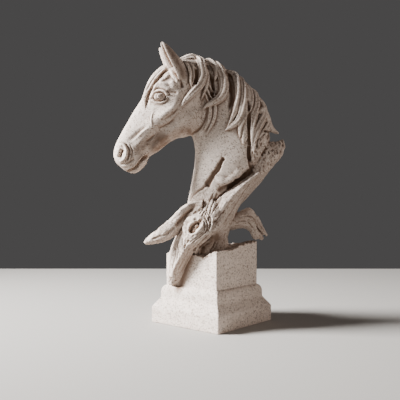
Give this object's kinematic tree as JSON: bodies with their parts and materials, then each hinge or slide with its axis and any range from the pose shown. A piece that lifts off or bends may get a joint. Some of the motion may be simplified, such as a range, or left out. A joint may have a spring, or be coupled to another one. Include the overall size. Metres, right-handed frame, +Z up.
{
  "type": "horse head ornament",
  "caption": "Cast resin table ornament: horse head and neck rising from driftwood, a smaller head hanging over the side of a square moulded plinth, and a broken branch arching beside it.",
  "frame": {"origin": "centre of the plinth's flat underside", "axes": "+Z up, X and Y square to the plinth; the horse looks between -X and -Y, and the small head hangs over the -Y face"},
  "size_m": [0.1354, 0.1381, 0.2957],
  "materials": {
    "sandstone_resin": "matt cast resin filled with stone powder, fine darker specks, brown wash left in the hollows"
  },
  "bodies": {
    "root": {"horse_head_ornament": "sandstone_resin"}
  },
  "joints": []
}
